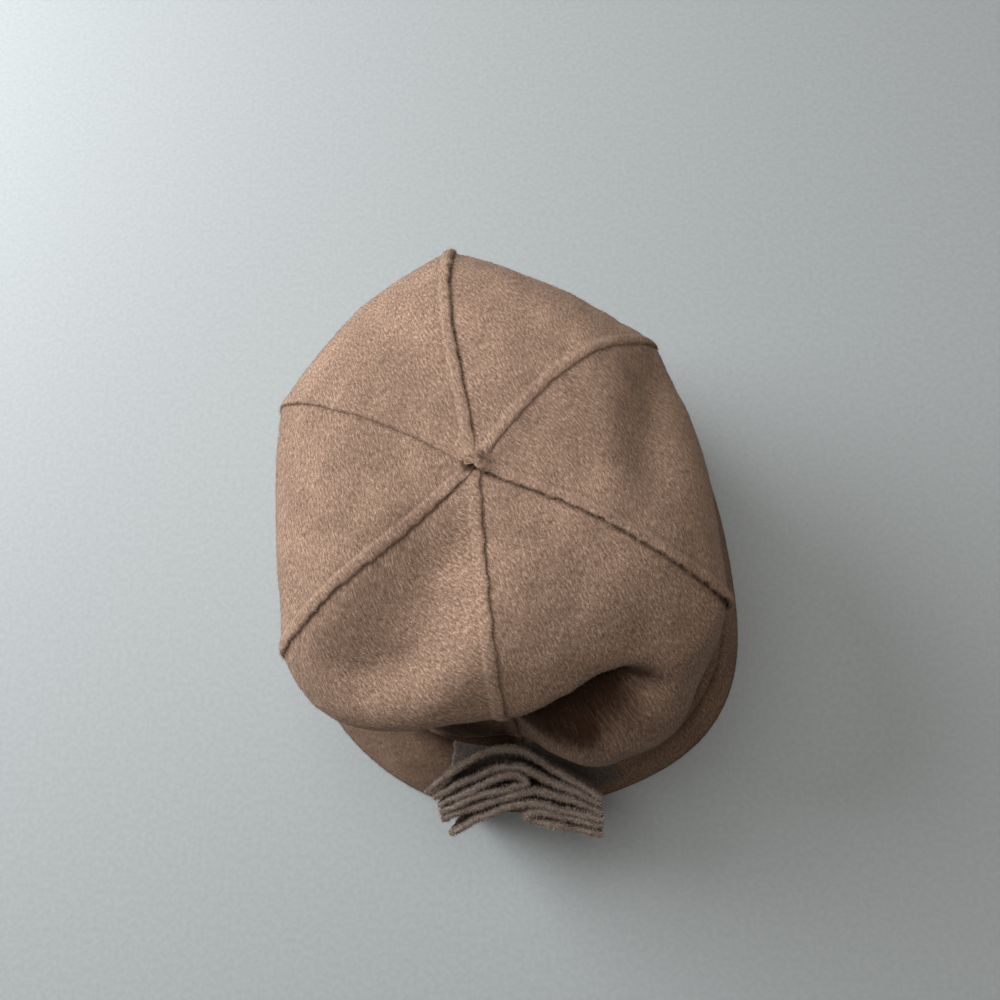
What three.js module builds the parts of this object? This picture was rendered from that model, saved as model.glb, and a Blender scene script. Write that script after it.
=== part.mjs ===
import * as THREE from 'three';

// A soft felt hat lying on its brim, in millimetres, with its front towards -Y.
// The shapes are worked out about the brim's own axis, and the crown's axis lies
// CROWN_SHIFT behind it. MIDDLE is the middle of the whole outline seen from above.
const FELT = 2.2;
const BOW_FELT = 1.9;
const SEAM_GAP = 0.4;
const REST_GAP = 0.3;
const HEM_HEIGHT = 40;
const CROWN_SHIFT = 10;
const MIDDLE = { x: 2.3, y: -0.15 };
const HEM = { halfWidth: 84, halfDepth: 99 };
const BRIM_EDGE = { halfWidth: 114, halfDepth: 127 };
const BRIM_LOBE = { angle: -40, spread: 25, reach: 16 };

// Seams of the crown, counter-clockwise seen from above. Angle and reach place the corner
// where a seam turns down into the wall, sway bends it sideways and slump lowers its middle.
const SEAMS = [
  { name: 'right', angle: -26.1, reach: 99.1, sway: -0.4, slump: -1.5 },
  { name: 'back_right', angle: 40.0, reach: 89.9, sway: 4.1, slump: -1.3 },
  { name: 'back', angle: 98.1, reach: 102.9, sway: 0.2, slump: 0.8 },
  { name: 'left', angle: 157.7, reach: 90.5, sway: -0.2, slump: 1.3 },
  { name: 'front_left', angle: 219.3, reach: 100.1, sway: -1.1, slump: 8.8 },
  { name: 'front', angle: 274.9, reach: 91.0, sway: 0.2, slump: 0.1 },
];

// Gores of the crown, each from the seam of the same row to the next. Bulge is how far the
// gore's side stands out past the straight line between its corners, and skew moves the
// fullest place towards the first corner, or the second if negative.
const GORES = [
  { name: 'gore_right', bulge: 7.5, skew: 0 },
  { name: 'gore_back_right', bulge: 6, skew: 0 },
  { name: 'gore_back_left', bulge: 8.5, skew: 0 },
  { name: 'gore_left', bulge: 2, skew: 0.3 },
  { name: 'gore_front_left', bulge: 17.5, skew: 0.45 },
  { name: 'gore_front_right', bulge: 9, skew: 0 },
];

// Sections of the crown from its top to its hem. Down is the way along the felt from the top,
// reach the share of the way out to the corners, drape the share of the way from the corners'
// outline to the hem's, and lean the slope of the felt's outward direction.
const CROWN_SECTIONS = [
  { down: 1, reach: 0.01, drape: 0, height: 141, lean: 90 },
  { down: 15, reach: 0.155, drape: 0, height: 141.8, lean: 90 },
  { down: 30, reach: 0.31, drape: 0, height: 142.3, lean: 90 },
  { down: 45, reach: 0.46, drape: 0, height: 141.8, lean: 88 },
  { down: 60, reach: 0.61, drape: 0, height: 139.5, lean: 80 },
  { down: 72, reach: 0.725, drape: 0, height: 135.6, lean: 70 },
  { down: 84, reach: 0.83, drape: 0, height: 129.6, lean: 58 },
  { down: 96, reach: 0.925, drape: 0, height: 121, lean: 42 },
  { down: 108, reach: 0.985, drape: 0, height: 111.5, lean: 26 },
  { down: 116, reach: 1, drape: 0.03, height: 104, lean: 14 },
  { down: 128, reach: 1, drape: 0.15, height: 92.5, lean: 6 },
  { down: 142, reach: 1, drape: 0.38, height: 79, lean: 2 },
  { down: 156, reach: 1, drape: 0.62, height: 65.5, lean: 0 },
  { down: 169, reach: 1, drape: 0.84, height: 53, lean: 0 },
  { down: 182, reach: 1, drape: 1, height: HEM_HEIGHT + REST_GAP, lean: 0 },
];

// Dents, creases and swellings of the crown. Each runs from one place to another, given by
// angle and way down the felt, fades over its width and pushes the felt out, or in if negative.
const FOLDS = [
  { name: 'front right swelling', angle: -66, down: 148, toAngle: -59, toDown: 147, width: 35, push: 24 },
  { name: 'right corner swelling', angle: -43, down: 142, toAngle: -38, toDown: 136, width: 30, push: 13 },
  { name: 'front right crease', angle: -86, down: 121, toAngle: -68, toDown: 119, width: 9, push: -17 },
  { name: 'end of the crease', angle: -66, down: 118, toAngle: -54, toDown: 110, width: 8, push: -10 },
  { name: 'front hollow', angle: -122, down: 140, toAngle: -80, toDown: 132, width: 15, push: -9 },
  { name: 'front left valley', angle: -122, down: 42, toAngle: -134, toDown: 88, width: 12, push: -4 },
  { name: 'right dip', angle: 16, down: 70, toAngle: 30, toDown: 96, width: 20, push: -4 },
  { name: 'back left dip', angle: 128, down: 40, toAngle: 118, toDown: 78, width: 18, push: -3 },
];
const HEM_CALM = 22;

// Sections of the brim, from the hem out to the edge on the floor.
const BRIM_SECTIONS = [
  { out: 0, height: HEM_HEIGHT, lean: 0, felt: FELT },
  { out: 0.16, height: 36.4, lean: 52, felt: FELT },
  { out: 0.36, height: 29.6, lean: 50, felt: FELT },
  { out: 0.56, height: 21.4, lean: 46, felt: FELT },
  { out: 0.75, height: 12.6, lean: 40, felt: FELT },
  { out: 0.9, height: 5.2, lean: 32, felt: FELT },
  { out: 1, height: 0, lean: 0, felt: 2.8 },
];

// The bow in front: strips that stand on the brim, seen from above, from the crown outwards.
const BOW_TOP = 60;
const BOW_STRIPS = [
  { name: 'bow_strip_1', knots: [[-29, -110.5], [-15, -100.3], [7, -93.2], [26, -101], [45, -112]] },
  { name: 'bow_strip_2', knots: [[-25.5, -113], [-10, -105], [8, -99.2], [26, -107], [45, -114.8]] },
  { name: 'bow_strip_3', knots: [[-22, -120.8], [-6, -115.4], [16, -109.6], [30, -112.8], [45, -117.6]] },
  { name: 'bow_strip_4', knots: [[-18.5, -126], [-4, -120], [15, -114], [30, -116.8], [45.5, -120.4]] },
];
const BOW_LOOPS = [
  {
    name: 'bow_loop_left',
    knots: [
      [-23.5, -115.6], [-8, -108.2], [9, -103.4], [14, -106.2],
      [8, -108.6], [-8, -111.6], [-22.6, -118.2],
    ],
  },
  {
    name: 'bow_loop_right',
    knots: [
      [45.5, -123.2], [30, -119.6], [17.5, -117.4], [13.5, -119.6],
      [18, -121.6], [30, -123.2], [45, -126],
    ],
  },
];
const BACKING = { fromAngle: -101, toAngle: -64.5, fromOut: 0.07, toOut: 0.86, felt: 1.6 };

const GORE_STEPS = [9, 24];
const BRIM_STEPS = [60, 7];
const STRIP_STEPS = [16, 1];
const LOOP_STEPS = [20, 1];
const BACKING_STEPS = [10, 6];

const CROWN_COLOUR = 0x6b4c3c;
const BRIM_COLOUR = 0x5d4234;
const BACKING_COLOUR = 0x5a4a44;
const BOW_COLOUR = 0x65493c;

const radians = THREE.MathUtils.degToRad;
const lerp = THREE.MathUtils.lerp;

// A smooth curve through the rows of a table, read at one value of its key column.
function readRows(rows, key, at) {
  const last = rows.length - 2;
  let low = 0;
  while (low < last && rows[low + 1][key] <= at) low += 1;
  const high = low + 1;
  const step = rows[high][key] - rows[low][key];
  const t = (at - rows[low][key]) / step;
  const slope = (row, column) => {
    const before = rows[Math.max(row - 1, 0)];
    const after = rows[Math.min(row + 1, rows.length - 1)];
    return (after[column] - before[column]) / (after[key] - before[key]);
  };
  const result = {};
  for (const column of Object.keys(rows[low])) {
    if (typeof rows[low][column] !== 'number') continue;
    const start = rows[low][column] * (2 * t ** 3 - 3 * t ** 2 + 1);
    const end = rows[high][column] * (3 * t ** 2 - 2 * t ** 3);
    const leaving = slope(low, column) * step * (t ** 3 - 2 * t ** 2 + t);
    const arriving = slope(high, column) * step * (t ** 3 - t ** 2);
    result[column] = start + end + leaving + arriving;
  }
  return result;
}

// Distance from the crown's axis to an ellipse whose centre lies ahead of that axis.
function ellipseReach(size, ahead, angle) {
  const across = Math.cos(angle) / size.halfWidth;
  const along = Math.sin(angle) / size.halfDepth;
  const shift = ahead / size.halfDepth;
  const a = across ** 2 + along ** 2;
  const b = along * shift;
  const c = shift ** 2 - 1;
  return (Math.sqrt(b ** 2 - a * c) - b) / a;
}

function hemReach(angle) {
  return ellipseReach(HEM, 0, angle);
}

function brimReach(angle) {
  const away = angle - radians(BRIM_LOBE.angle);
  const turn = Math.atan2(Math.sin(away), Math.cos(away));
  const lobe = BRIM_LOBE.reach * Math.exp(-((turn / radians(BRIM_LOBE.spread)) ** 2));
  return ellipseReach(BRIM_EDGE, CROWN_SHIFT, angle) + lobe;
}

function onAxis(reach, angle) {
  return new THREE.Vector2(reach * Math.cos(angle), reach * Math.sin(angle));
}

// How far the folds push the felt at a place given by angle and way down.
function foldPush(angle, down) {
  const place = onAxis(down, angle);
  let push = 0;
  for (const fold of FOLDS) {
    const start = onAxis(fold.down, radians(fold.angle));
    const run = onAxis(fold.toDown, radians(fold.toAngle)).sub(start);
    const share = THREE.MathUtils.clamp(place.clone().sub(start).dot(run) / run.lengthSq(), 0, 1);
    const away = place.distanceTo(start.addScaledVector(run, share));
    push += fold.push * Math.exp(-((away / fold.width) ** 2));
  }
  const hem = CROWN_SECTIONS[CROWN_SECTIONS.length - 1].down;
  return push * THREE.MathUtils.smoothstep(hem - down, 0, HEM_CALM);
}

// Outward direction of the felt, leaning up from the horizontal.
function outward(angle, lean) {
  const level = Math.cos(radians(lean));
  return new THREE.Vector3(level * Math.cos(angle), level * Math.sin(angle), Math.sin(radians(lean)));
}

// A point of one gore: share across it, way down the felt and depth under its outer face.
function gorePoint(gore, from, to, share, down, depth) {
  const section = readRows(CROWN_SECTIONS, 'down', down);
  const fromAngle = radians(from.angle);
  const toAngle = radians(to.angle);
  const start = onAxis(from.reach, fromAngle);
  const end = onAxis(to.reach, toAngle);
  const side = end.clone().sub(start);
  const out = new THREE.Vector2(side.y, -side.x).normalize();
  const corners = start.clone().addScaledVector(side, share);
  const fullness = 4 * share * (1 - share) * (1 + gore.skew * (1 - 2 * share));
  corners.addScaledVector(out, fullness * gore.bulge);

  const bend = Math.sin(Math.PI * Math.min(section.reach, 1));
  const startSway = onAxis(from.sway * bend, fromAngle + Math.PI / 2);
  const endSway = onAxis(to.sway * bend, toAngle + Math.PI / 2);
  const top = corners.clone().multiplyScalar(section.reach).add(startSway.lerp(endSway, share));

  const hemAngle = lerp(fromAngle, toAngle, share);
  const hem = onAxis(hemReach(hemAngle), hemAngle);
  const plan = top.lerp(hem, section.drape);
  const height = section.height - lerp(from.slump, to.slump, share) * bend;

  const angle = Math.atan2(plan.y, plan.x);
  const push = foldPush(angle, down) - depth;
  const point = new THREE.Vector3(plan.x, plan.y + CROWN_SHIFT, height);
  return point.addScaledVector(outward(angle, section.lean), push);
}

// A point of the brim at an angle about the crown's axis, on its upper or its lower face.
function brimPoint(angle, out, depthShare) {
  const section = readRows(BRIM_SECTIONS, 'out', out);
  const plan = onAxis(lerp(hemReach(angle), brimReach(angle), out), angle);
  const point = new THREE.Vector3(plan.x, plan.y + CROWN_SHIFT, section.height);
  return point.addScaledVector(outward(angle, section.lean), -section.felt * depthShare);
}

function brimHeight(x, y) {
  const plan = new THREE.Vector2(x, y - CROWN_SHIFT);
  const angle = plan.angle();
  const out = (plan.length() - hemReach(angle)) / (brimReach(angle) - hemReach(angle));
  return readRows(BRIM_SECTIONS, 'out', THREE.MathUtils.clamp(out, 0, 1)).height;
}

function feltMaterial(colour) {
  return new THREE.MeshStandardMaterial({ color: colour, roughness: 0.95, metalness: 0 });
}

// A closed wall between an outer and an inner face, each worked out from two shares.
function wall(name, colour, steps, isRing, face) {
  const columns = isRing ? steps[0] : steps[0] + 1;
  const rows = steps[1] + 1;
  const points = [];
  for (const side of [0, 1]) {
    for (let i = 0; i < columns; i += 1) {
      for (let j = 0; j < rows; j += 1) {
        points.push(face(i / steps[0], j / steps[1], side));
      }
    }
  }
  const corner = (side, i, j) => (side * columns + (i % columns)) * rows + j;
  const indices = [];
  const quad = (a, b, c, d) => indices.push(a, b, c, a, c, d);
  for (let i = 0; i < steps[0]; i += 1) {
    for (let j = 0; j < steps[1]; j += 1) {
      quad(corner(0, i, j), corner(0, i + 1, j), corner(0, i + 1, j + 1), corner(0, i, j + 1));
      quad(corner(1, i, j), corner(1, i, j + 1), corner(1, i + 1, j + 1), corner(1, i + 1, j));
    }
    quad(corner(0, i + 1, 0), corner(0, i, 0), corner(1, i, 0), corner(1, i + 1, 0));
    const j = steps[1];
    quad(corner(0, i, j), corner(0, i + 1, j), corner(1, i + 1, j), corner(1, i, j));
  }
  for (let j = 0; j < steps[1] && !isRing; j += 1) {
    quad(corner(0, 0, j), corner(0, 0, j + 1), corner(1, 0, j + 1), corner(1, 0, j));
    const i = steps[0];
    quad(corner(0, i, j + 1), corner(0, i, j), corner(1, i, j), corner(1, i, j + 1));
  }
  if (signedVolume(points, indices) < 0) indices.reverse();
  const geometry = new THREE.BufferGeometry().setFromPoints(points);
  geometry.setIndex(indices);
  geometry.computeVertexNormals();
  const mesh = new THREE.Mesh(geometry, feltMaterial(colour));
  mesh.name = name;
  return mesh;
}

function signedVolume(points, indices) {
  let volume = 0;
  for (let i = 0; i < indices.length; i += 3) {
    const [a, b, c] = [points[indices[i]], points[indices[i + 1]], points[indices[i + 2]]];
    volume += a.dot(b.clone().cross(c)) / 6;
  }
  return volume;
}

// Crown: six gores, each between two seams, with a narrow gap along every seam.
function makeGore(index) {
  const from = SEAMS[index];
  const next = SEAMS[(index + 1) % SEAMS.length];
  const turn = next.angle < from.angle ? 360 : 0;
  const to = { ...next, angle: next.angle + turn };
  const first = CROWN_SECTIONS[0];
  const last = CROWN_SECTIONS[CROWN_SECTIONS.length - 1];
  const corner = onAxis(from.reach, radians(from.angle));
  const cornersApart = corner.distanceTo(onAxis(to.reach, radians(to.angle)));
  const face = (across, along, side) => {
    const down = lerp(first.down, last.down, along);
    const section = readRows(CROWN_SECTIONS, 'down', down);
    const margin = SEAM_GAP / 2 / (section.reach * cornersApart);
    return gorePoint(GORES[index], from, to, lerp(margin, 1 - margin, across), down, side * FELT);
  };
  return wall(GORES[index].name, CROWN_COLOUR, GORE_STEPS, false, face);
}

// Brim: one ring of felt from the hem down to the floor.
function makeBrim() {
  const face = (around, out, side) => brimPoint(around * 2 * Math.PI, out, side);
  return wall('brim', BRIM_COLOUR, BRIM_STEPS, true, face);
}

// Backing: a felt patch that lies on the brim under the bow.
function makeBacking() {
  const face = (along, out, side) => {
    const angle = lerp(radians(BACKING.fromAngle), radians(BACKING.toAngle), along);
    const point = brimPoint(angle, lerp(BACKING.fromOut, BACKING.toOut, out), 0);
    point.z += REST_GAP + (1 - side) * BACKING.felt;
    return point;
  };
  return wall('bow_backing', BACKING_COLOUR, BACKING_STEPS, false, face);
}

// A strip of the bow, bent along its knots and standing on the backing.
function makeStrip({ name, knots }, steps) {
  const places = knots.map(([x, y]) => new THREE.Vector3(x, y, 0));
  const curve = new THREE.CatmullRomCurve3(places, false, 'centripetal');
  const face = (along, up, side) => {
    const place = curve.getPoint(along);
    const ahead = curve.getTangent(along);
    const offset = (side - 0.5) * BOW_FELT;
    const x = place.x - ahead.y * offset;
    const y = place.y + ahead.x * offset;
    const foot = brimHeight(x, y) + BACKING.felt + 3 * REST_GAP;
    return new THREE.Vector3(x, y, lerp(foot, BOW_TOP, up));
  };
  return wall(name, BOW_COLOUR, steps, false, face);
}

// The hat is moved so that the origin is under the middle of its outline on the floor.
const group = new THREE.Group();
group.position.set(-MIDDLE.x, -MIDDLE.y, 0);
for (let index = 0; index < SEAMS.length; index += 1) group.add(makeGore(index));
group.add(makeBrim());
group.add(makeBacking());
for (const strip of BOW_STRIPS) group.add(makeStrip(strip, STRIP_STEPS));
for (const loop of BOW_LOOPS) group.add(makeStrip(loop, LOOP_STEPS));

export default group;
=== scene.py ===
"""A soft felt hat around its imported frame: felt walls with laps, raw edges and a short nap.

Sizes are in millimetres until a mesh is made. A place on the crown is given by how far down the felt it
lies from the apex, and by how far it lies across its gore.
"""

import math
from collections import namedtuple

import bmesh
import bpy
import numpy as np
from mathutils import Matrix


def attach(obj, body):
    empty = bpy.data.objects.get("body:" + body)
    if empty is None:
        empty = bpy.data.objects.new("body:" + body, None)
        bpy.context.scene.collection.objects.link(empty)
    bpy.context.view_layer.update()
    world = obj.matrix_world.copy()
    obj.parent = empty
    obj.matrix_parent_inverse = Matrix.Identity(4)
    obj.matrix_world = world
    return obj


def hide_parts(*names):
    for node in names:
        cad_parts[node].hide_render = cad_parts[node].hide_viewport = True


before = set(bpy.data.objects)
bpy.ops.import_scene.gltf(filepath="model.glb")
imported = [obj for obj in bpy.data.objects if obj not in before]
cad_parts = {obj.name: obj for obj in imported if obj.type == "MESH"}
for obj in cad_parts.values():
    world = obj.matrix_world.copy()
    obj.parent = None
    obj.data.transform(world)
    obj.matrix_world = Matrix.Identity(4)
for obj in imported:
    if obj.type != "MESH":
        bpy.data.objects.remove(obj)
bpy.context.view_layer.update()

MM = 0.001
SEED = 11

# Sizes that the frame's pieces have too
FELT = 2.2
BRIM_FELT = 2.2
HEM_HEIGHT = 40.0
HEM_DOWN = 182.0
CROWN_SHIFT = 10.0
MIDDLE = (2.3, -0.15)
HEM = (84.0, 99.0)
BRIM_EDGE = (114.0, 127.0)
LOBE_ANGLE, LOBE_SPREAD, LOBE_REACH = -40.0, 25.0, 16.0
HEM_CALM = 22.0
BOW_TOP = 60.0
BOW_REST = 2.5

# The bow's felt is a little thicker here than in the frame
BOW_FELT = 2.1

# Laps: how far a gore runs over or under its neighbour, and past the hem over the brim
OVER_RUN = 1.7
UNDER_RUN = 1.8
HEM_LAP = 3.6
CORNER_ROUND = 3.5
TIP_REGION = (2.0, 9.0)
SEAM_WANDER = 0.35
HIGHEST_LAP = 4.2
LIFT_REACH = 4.5

# Lines along a lap, by the distance from its raw edge: the pale raw edge, a painted highlight on the ridge
# inside it, and the painted shade of a pressed line
RAW_WIDTH = 0.9
RIDGE_PLACE, RIDGE_WIDTH = 3.4, 0.7
PRESSED_PLACE, PRESSED_WIDTH, PRESSED_SHADE = 5.1, 0.7, 0.17

# A gore's felt is thinner near its raw edges
THIN_REACH, THIN_BY = 5.0, 0.9

# Painted shadow beside a seam, and the ways down the felt over which it grows
SHADOW_REACH, SHADOW_GROWTH = 0.55, 0.5
SHADOW_WIDENS = (50, 105)
SHADOW_DARKENS = (40, 110)

# Tip of the first gore, which lies over the others at the apex, and the painted shade round it
TONGUE_REACH = 1.9
TONGUE_HALF = 2.2
TONGUE_SHADE, TONGUE_FADE = 0.8, 0.8
TONGUE_START = (-2.0, 0.5)

# Hem where it laps over the brim, with the heights of its faces over the brim
HEM_LEAN = 52.0
HEM_UPPER, HEM_LOWER = 2.0, 0.25
HEM_FLARE = (HEM_DOWN - 3, HEM_DOWN + 1.6)
SLOPE_SHARE = 0.1

# Direction in which the nap lies, seen from above
NAP = (0.5, -0.866)

# Third coordinates of the grain, apart so that no two pieces have the same pattern
GORE_GRAIN_STEP = 37.0
BRIM_GRAIN = 400.0
BACKING_GRAIN = 500.0
BOW_GRAIN, BOW_GRAIN_STEP = 600, 20
INSIDE_GRAIN = 9.0

# The crown down its felt: reach is the share of the way out to the seams' corners, drape the share
# that follows the hem's outline, and lean how far the felt faces up, in degrees
Section = namedtuple("Section", "down reach drape height lean")
CROWN_SECTIONS = [
    Section(1, 0.01, 0, 141, 90),
    Section(15, 0.155, 0, 141.8, 90),
    Section(30, 0.31, 0, 142.3, 90),
    Section(45, 0.46, 0, 141.8, 88),
    Section(60, 0.61, 0, 139.5, 80),
    Section(72, 0.725, 0, 135.6, 70),
    Section(84, 0.83, 0, 129.6, 58),
    Section(96, 0.925, 0, 121, 42),
    Section(108, 0.985, 0, 111.5, 26),
    Section(116, 1, 0.03, 104, 14),
    Section(128, 1, 0.15, 92.5, 6),
    Section(142, 1, 0.38, 79, 2),
    Section(156, 1, 0.62, 65.5, 0),
    Section(169, 1, 0.84, 53, 0),
    Section(HEM_DOWN, 1, 1, HEM_HEIGHT + 0.3, 0),
]

# Seams: faint is how far down the lap stays pressed flat, and mark is how clearly its raw edge and the
# painted shadow beside it show
Seam = namedtuple("Seam", "name angle reach sway slump faint mark")
SEAMS = [
    Seam("right", -26.1, 99.1, 2.8, 2.6, 2, 1.15),
    Seam("back_right", 40.0, 89.9, 6.8, -1.3, 2, 0.5),
    Seam("back", 98.1, 102.9, 2.6, 0.8, 8, 1.1),
    Seam("left", 157.7, 90.5, -3.4, 1.3, 17, 0.14),
    Seam("front_left", 219.3, 100.1, 0.4, 3.2, 5, 0.85),
    Seam("front", 274.9, 91.0, -0.8, 0.1, 4, 0.65),
]

# Gores: each runs from the seam of its own row to the next one. A lap of 1 lies over, -1 lies under.
# Bulge is how far its middle stands out. Its tip runs past the apex, or short of it where below 0.
Gore = namedtuple("Gore", "node bulge skew start_lap end_lap tip_past tip_lift")
GORES = [
    Gore("gore_right", 7.5, 0, 1, -1, 4.2, 2.3),
    Gore("gore_back_right", 6.0, 0, 1, -1, -1.2, 1.2),
    Gore("gore_back_left", 8.5, 0, 1, 1, 1.5, 1.5),
    Gore("gore_left", 2.0, 0.3, -1, 1, 1.5, 0.7),
    Gore("gore_front_left", 17.5, 0.45, -1, 1, 2.5, 0.4),
    Gore("gore_front_right", 9.0, 0, -1, -1, 1.0, -0.7),
]

# Folds: each pushes the felt out or in along a line, and fades away from it over its width
Fold = namedtuple("Fold", "angle down to_angle to_down width push")
FOLDS = [
    Fold(-66, 148, -59, 147, 35, 24),
    Fold(-43, 142, -38, 136, 30, 13),
    Fold(-86, 121, -68, 119, 9, -17),
    Fold(-66, 118, -54, 110, 8, -10),
    Fold(-122, 140, -80, 132, 15, -9),
    Fold(-108, 38, -118, 80, 16, -9),
    Fold(-98, 60, -106, 74, 13, -4),
    Fold(0, 71, 29, 93, 13, -5),
    Fold(50, 104, 78, 106, 14, -1.2),
    Fold(128, 40, 118, 78, 18, -3),
    Fold(-74, 120, -60, 111, 10, -12),
    Fold(-118, 152, -84, 148, 12, -8),
    Fold(-70, 106, -50, 102, 16, -3),
]

# Painted shade deep in the folds, under the crown's front lip and on the wall and hem behind the bow, with
# the share of the light that is lost as push
PAINTED_FOLD_SHADES = [
    Fold(-81, 134, -68, 126, 6, 0.95),
    Fold(-68, 125, -50, 108, 5, 0.9),
    Fold(-78, 132, -58, 119, 10, 0.5),
    Fold(-62, 142, -48, 138, 24, 0.2),
    Fold(-101, 162, -88, 164, 14, 0.9),
    Fold(-102, 180, -86, 181, 12, 0.85),
    Fold(-116, 160, -96, 160, 15, 0.5),
]

BrimSection = namedtuple("BrimSection", "out height lean felt")
BRIM_SECTIONS = [
    BrimSection(0, HEM_HEIGHT, 0, BRIM_FELT),
    BrimSection(0.16, 36.4, 52, BRIM_FELT),
    BrimSection(0.36, 29.6, 50, BRIM_FELT),
    BrimSection(0.56, 21.4, 46, BRIM_FELT),
    BrimSection(0.75, 12.6, 40, BRIM_FELT),
    BrimSection(0.9, 5.2, 32, BRIM_FELT),
    BrimSection(1, 0, 0, 2.8),
]

# Soft creases that follow the brim's edge
Crease = namedtuple("Crease", "angle spread out width depth")
BRIM_CREASES = [
    Crease(-42, 26, 0.62, 0.04, 3.0),
    Crease(-46, 24, 0.46, 0.045, 2.8),
    Crease(-38, 20, 0.79, 0.035, 2.2),
    Crease(205, 30, 0.60, 0.07, 0.6),
    Crease(95, 40, 0.55, 0.08, 0.5),
]

# Height of a lap's upper face over the felt around it, by the distance from the raw edge
LapRow = namedtuple("LapRow", "inside height")
OVER_LAP = [
    LapRow(*row)
    for row in [
        (0, 0.15), (0.4, 0.55), (1.1, 0.75), (2.2, 0.7), (3.3, 0.56),
        (4.2, 0.2), (5.2, 0), (6.6, 0), (9.0, 0),
    ]
]
UNDER_LAP = [
    LapRow(*row)
    for row in [(0, -0.8), (2.9, -0.8), (3.5, -0.66), (4.2, -0.32), (5.2, -0.06), (6.6, 0), (9.0, 0)]
]

# Places where a lap's raw edge stands up
Lift = namedtuple("Lift", "seam down spread height")
LIFTS = [
    Lift("right", 112, 10, 1.6),
    Lift("right", 82, 24, 0.35),
    Lift("back", 112, 9, 0.9),
    Lift("front", 116, 8, 0.7),
    Lift("front_left", 108, 8, 0.3),
    Lift("back_right", 108, 8, 0.3),
]

# Lowest heights over the floor for hairs and for the brim's faces
LOWEST_HAIR = 0.15
LOWEST_UPPER, LOWEST_LOWER = 0.5, 0.02

BACKING_ANGLES = (-101.0, -64.5)
BACKING_OUT = (0.07, 0.86)
BACKING_FELT = 1.6
REST_GAP = 0.3

# Strips of the bow: open_side is 1 where the left side along the knots shows, -1 where the right one does
Bow = namedtuple("Bow", "node open_side knots")
BOW_PIECES = [
    Bow("bow_strip_1", 1, [(-29, -110.5), (-15, -100.3), (7, -93.2), (26, -101), (45, -112)]),
    Bow("bow_strip_2", 0, [(-25.5, -113), (-10, -105), (8, -99.2), (26, -107), (45, -114.8)]),
    Bow("bow_strip_3", 0, [(-22, -120.8), (-6, -115.4), (16, -109.6), (30, -112.8), (45, -117.6)]),
    Bow("bow_strip_4", -1, [(-18.5, -126), (-4, -120), (15, -114), (30, -116.8), (45.5, -120.4)]),
    Bow(
        "bow_loop_left",
        0,
        [
            (-23.5, -115.6), (-8, -108.2), (9, -103.4), (14, -106.2),
            (8, -108.6), (-8, -111.6), (-22.6, -118.2),
        ],
    ),
    Bow(
        "bow_loop_right",
        -1,
        [
            (45.5, -123.2), (30, -119.6), (17.5, -117.4), (13.5, -119.6),
            (18, -121.6), (30, -123.2), (45, -126),
        ],
    ),
]


def cubic(t, first, last, leaving, arriving):
    """A smooth curve between two values, by the slopes with which it leaves one and arrives at the other."""
    value = first * (2 * t**3 - 3 * t**2 + 1) + last * (3 * t**2 - 2 * t**3)
    return value + leaving * (t**3 - 2 * t**2 + t) + arriving * (t**3 - t**2)


def read_rows(rows, at):
    """A smooth curve through a table's rows, read at values of its first column, as one row of arrays."""
    table = np.array(rows, float)
    key = table[:, 0]
    at = np.asarray(at, float)
    low = np.clip(np.searchsorted(key, at, side="right") - 1, 0, len(key) - 2)
    step = (key[low + 1] - key[low])[..., None]
    t = (at[..., None] - key[low][..., None]) / step
    before = np.maximum(np.arange(len(key)) - 1, 0)
    after = np.minimum(np.arange(len(key)) + 1, len(key) - 1)
    slope = (table[after] - table[before]) / (key[after] - key[before])[:, None]
    value = cubic(t, table[low], table[low + 1], slope[low] * step, slope[low + 1] * step)
    return type(rows[0])(*np.moveaxis(value, -1, 0))


def smoothstep(x, start, end):
    t = np.clip((x - start) / (end - start), 0, 1)
    return t * t * (3 - 2 * t)


def fade(distance, width):
    return np.exp(-((distance / width) ** 2))


def unit(vectors):
    return vectors / np.maximum(np.linalg.norm(vectors, axis=-1, keepdims=True), 1e-9)


def polar(reach, angle):
    return np.stack([reach * np.cos(angle), reach * np.sin(angle)], -1)


def ellipse_reach(size, ahead, angle):
    """Distance from the crown's axis to an ellipse whose centre lies ahead of that axis."""
    across = np.cos(angle) / size[0]
    along = np.sin(angle) / size[1]
    shift = ahead / size[1]
    a = across**2 + along**2
    b = along * shift
    return (np.sqrt(b**2 - a * (shift**2 - 1)) - b) / a


def hem_reach(angle):
    return ellipse_reach(HEM, 0, angle)


def turn_from(angle, middle):
    """The turn in degrees from a middle angle, between -180 and 180."""
    return (np.degrees(angle) - middle + 180) % 360 - 180


def brim_reach(angle):
    lobe = LOBE_REACH * fade(turn_from(angle, LOBE_ANGLE), LOBE_SPREAD)
    return ellipse_reach(BRIM_EDGE, CROWN_SHIFT, angle) + lobe


def fold_sum(folds, angle, down):
    """The pushes of all the folds at a place, each fading away from its own line."""
    place = polar(down, angle)
    total = 0
    for fold in folds:
        start = polar(fold.down, math.radians(fold.angle))
        run = polar(fold.to_down, math.radians(fold.to_angle)) - start
        share = np.clip(((place - start) @ run) / (run @ run), 0, 1)
        away = np.linalg.norm(place - start - share[..., None] * run, axis=-1)
        total = total + fold.push * fade(away, fold.width)
    return total


def fold_push(angle, down):
    return fold_sum(FOLDS, angle, down) * smoothstep(HEM_DOWN - down, 0, HEM_CALM)


def outward(angle, lean):
    level = np.cos(np.radians(lean))
    return np.stack([level * np.cos(angle), level * np.sin(angle), np.sin(np.radians(lean)) + 0 * angle], -1)


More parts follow.
